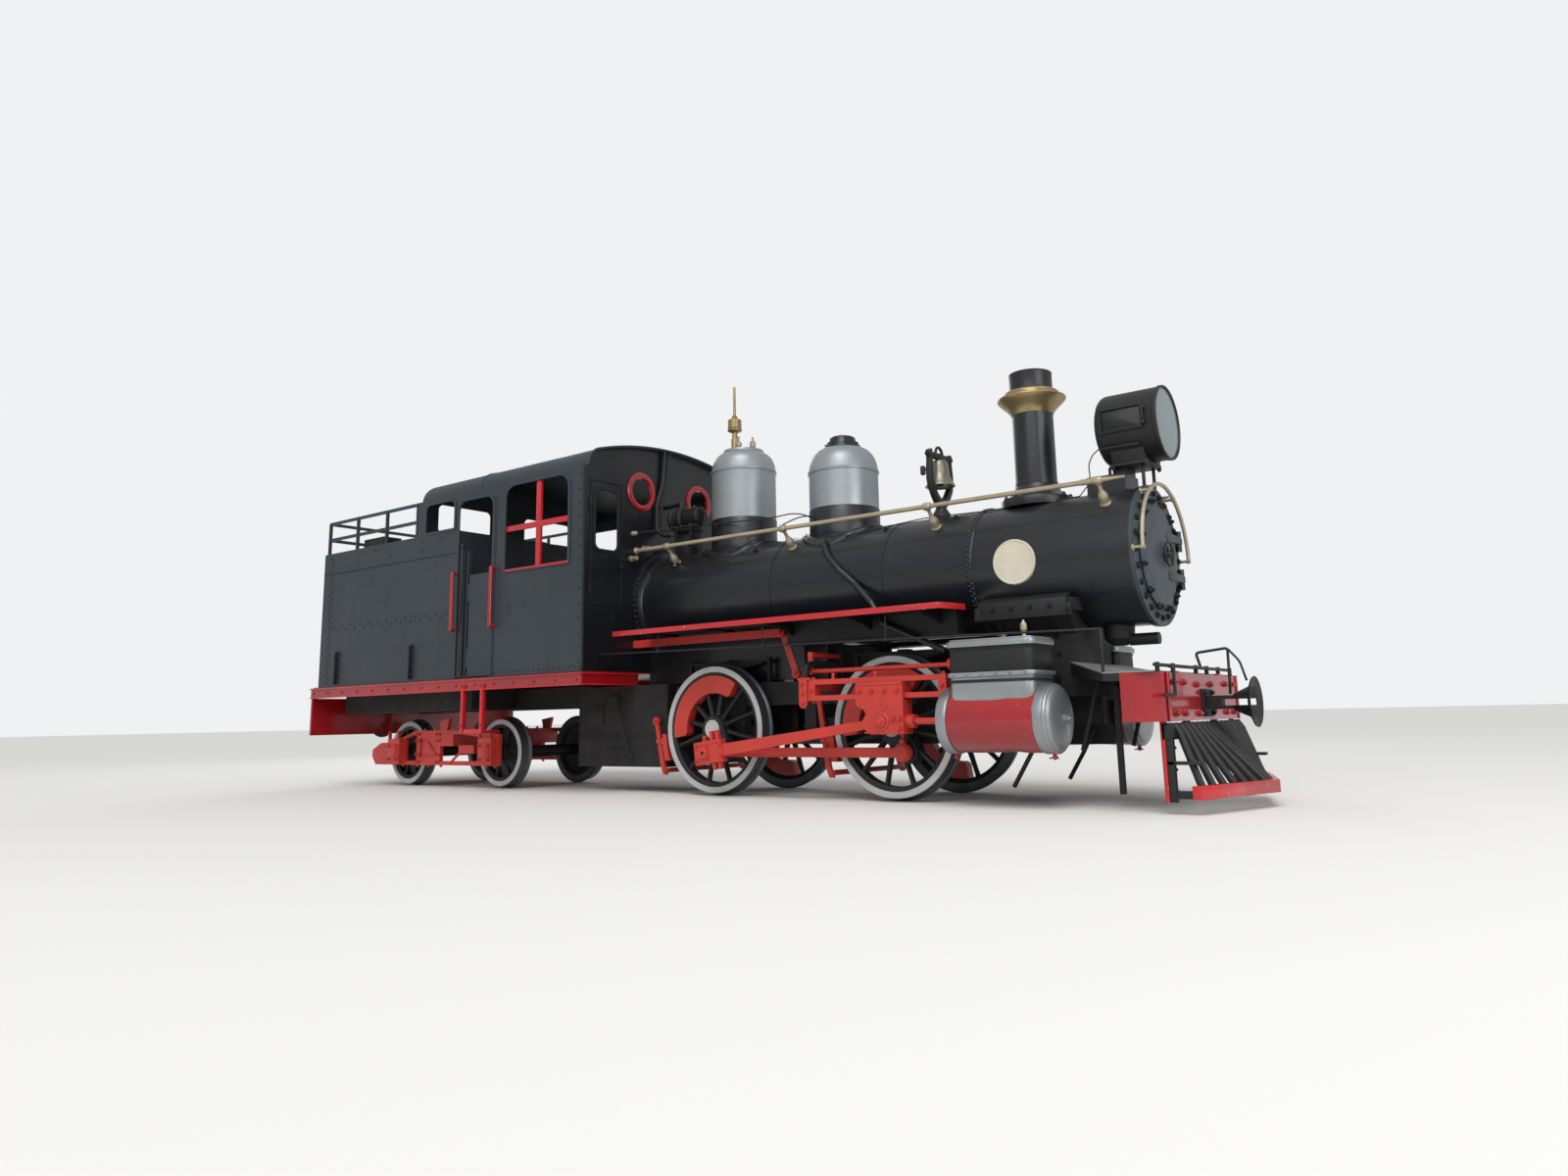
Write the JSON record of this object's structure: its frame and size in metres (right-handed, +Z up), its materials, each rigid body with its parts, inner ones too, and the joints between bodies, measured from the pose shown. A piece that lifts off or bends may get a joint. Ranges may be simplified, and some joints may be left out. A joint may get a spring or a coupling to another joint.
{
  "type": "steam locomotive",
  "caption": "Narrow-gauge tank steam locomotive with coupled drivers, side rods, a rear truck under an open-top bunker, a cab, domes, a bell, a headlight and a bar pilot.",
  "frame": {"origin": "centre of the bounding box at the bottom of the wheel flanges; the rail tops are 26 mm above it", "axes": "+X towards the front of the locomotive, +Y to its left, +Z up"},
  "size_m": [10.741, 2.5478, 3.986],
  "materials": {
    "black_paint": "satin black enamel",
    "slate_paint": "satin dark slate-grey enamel",
    "red_paint": "gloss red enamel",
    "grey_rims": "black wheels with pale grey tyre faces",
    "silver_paint": "aluminium paint",
    "brass": "weathered brass"
  },
  "bodies": {
    "chassis": {"ashpan": "black_paint", "bell_yoke": "black_paint", "boiler": "black_paint", "brake_rigging": "red_paint", "buffer_beam": "red_paint", "bunker": "slate_paint", "bunker_fence": "black_paint", "cab_floor": "black_paint", "cab_front": "black_paint", "cab_rear": "slate_paint", "cab_roof": "slate_paint", "cab_side_left": "slate_paint", "cab_side_right": "slate_paint", "chimney": "black_paint", "cinder_hopper": "black_paint", "cylinder_left": "red_paint", "cylinder_right": "red_paint", "footplate": "red_paint", "front_coupler": "black_paint", "front_deck": "black_paint", "grab_rails": "red_paint", "guard_irons": "black_paint", "guides_left": "red_paint", "guides_right": "red_paint", "handrails": "brass", "headlight": "black_paint", "main_frame": "black_paint", "pilot": "black_paint", "reach_rod": "red_paint", "rear_beam": "red_paint", "rear_coupler": "black_paint", "running_board_left": "black_paint", "running_board_right": "black_paint", "sand_dome": "silver_paint", "sand_pipes": "black_paint", "smokebox": "black_paint", "smokebox_saddle": "black_paint", "springs": "black_paint", "steam_dome": "silver_paint", "turbo_generator": "black_paint", "uncoupling_lever": "black_paint", "valve_rods": "black_paint", "well_tanks": "black_paint"},
    "driver_rear": {"driver_rear": "grey_rims"},
    "driver_front": {"driver_front": "grey_rims"},
    "coupling_rod_right": {"coupling_rod_right": "red_paint"},
    "coupling_rod_left": {"coupling_rod_left": "red_paint"},
    "crosshead_right": {"crosshead_right": "red_paint"},
    "crosshead_left": {"crosshead_left": "red_paint"},
    "main_rod_right": {"main_rod_right": "red_paint"},
    "main_rod_left": {"main_rod_left": "red_paint"},
    "truck": {"truck_frame": "red_paint"},
    "truck_axle_front": {"truck_axle_front": "grey_rims"},
    "truck_axle_rear": {"truck_axle_rear": "grey_rims"},
    "bell": {"bell": "brass"},
    "smokebox_door": {"smokebox_door": "black_paint"},
    "cab_door_right": {"cab_door_right": "slate_paint"},
    "cab_door_left": {"cab_door_left": "slate_paint"}
  },
  "joints": [
    {"name": "rear_driver_turn", "type": "hinge", "parent": "chassis", "child": "driver_rear", "pos_m": [0.7705, 0, 0.586], "axis": [0, 1, 0], "continuous": true},
    {"name": "front_driver_turn", "type": "hinge", "parent": "chassis", "child": "driver_front", "pos_m": [2.6555, 0, 0.586], "axis": [0, 1, 0], "continuous": true},
    {"name": "coupling_rod_right_turn", "type": "hinge", "parent": "driver_rear", "child": "coupling_rod_right", "pos_m": [0.90121, -0.664, 0.38472], "axis": [0, 1, 0], "continuous": true},
    {"name": "crosshead_right_slide", "type": "slide", "parent": "chassis", "child": "crosshead_right", "axis": [1, 0, 0], "range_m": [-0.35554, 0.12457]},
    {"name": "main_rod_right_swing", "type": "hinge", "parent": "crosshead_right", "child": "main_rod_right", "pos_m": [2.75155, -0.853, 0.626], "axis": [0, 1, 0], "range_deg": [-1.2, 13.58]},
    {"name": "coupling_rod_left_turn", "type": "hinge", "parent": "driver_rear", "child": "coupling_rod_left", "pos_m": [0.97178, 0.664, 0.71671], "axis": [0, 1, 0], "continuous": true},
    {"name": "crosshead_left_slide", "type": "slide", "parent": "chassis", "child": "crosshead_left", "axis": [1, 0, 0], "range_m": [-0.43957, 0.04055]},
    {"name": "main_rod_left_swing", "type": "hinge", "parent": "crosshead_left", "child": "main_rod_left", "pos_m": [2.83557, 0.853, 0.626], "axis": [0, 1, 0], "range_deg": [-11.42, 3.37]},
    {"name": "truck_swivel", "type": "hinge", "parent": "chassis", "child": "truck", "pos_m": [-3.047, 0, 0.616], "axis": [0, 0, 1], "range_deg": [-5, 5]},
    {"name": "truck_axle_front_turn", "type": "hinge", "parent": "truck", "child": "truck_axle_front", "pos_m": [-2.2255, 0, 0.374], "axis": [0, 1, 0], "continuous": true},
    {"name": "truck_axle_rear_turn", "type": "hinge", "parent": "truck", "child": "truck_axle_rear", "pos_m": [-3.8685, 0, 0.374], "axis": [0, 1, 0], "continuous": true},
    {"name": "bell_swing", "type": "hinge", "parent": "chassis", "child": "bell", "pos_m": [2.8555, 0, 2.864], "axis": [0, 1, 0], "range_deg": [-50, 50]},
    {"name": "smokebox_door_hinge", "type": "hinge", "parent": "chassis", "child": "smokebox_door", "pos_m": [4.6915, 0.445, 1.812], "axis": [0, 0, 1], "range_deg": [0, 90]},
    {"name": "cab_door_right_hinge", "type": "hinge", "parent": "chassis", "child": "cab_door_right", "pos_m": [-2.0445, -1.186, 2.196], "axis": [0, 0, 1], "range_deg": [0, 85]},
    {"name": "cab_door_left_hinge", "type": "hinge", "parent": "chassis", "child": "cab_door_left", "pos_m": [-2.0445, 1.186, 2.196], "axis": [0, 0, 1], "range_deg": [-85, 0]}
  ],
  "couplings": [
    {"joint": "front_driver_turn", "follows": "rear_driver_turn", "ratio": 1},
    {"joint": "coupling_rod_right_turn", "follows": "rear_driver_turn", "ratio": -1},
    {"joint": "coupling_rod_left_turn", "follows": "rear_driver_turn", "ratio": -1}
  ]
}
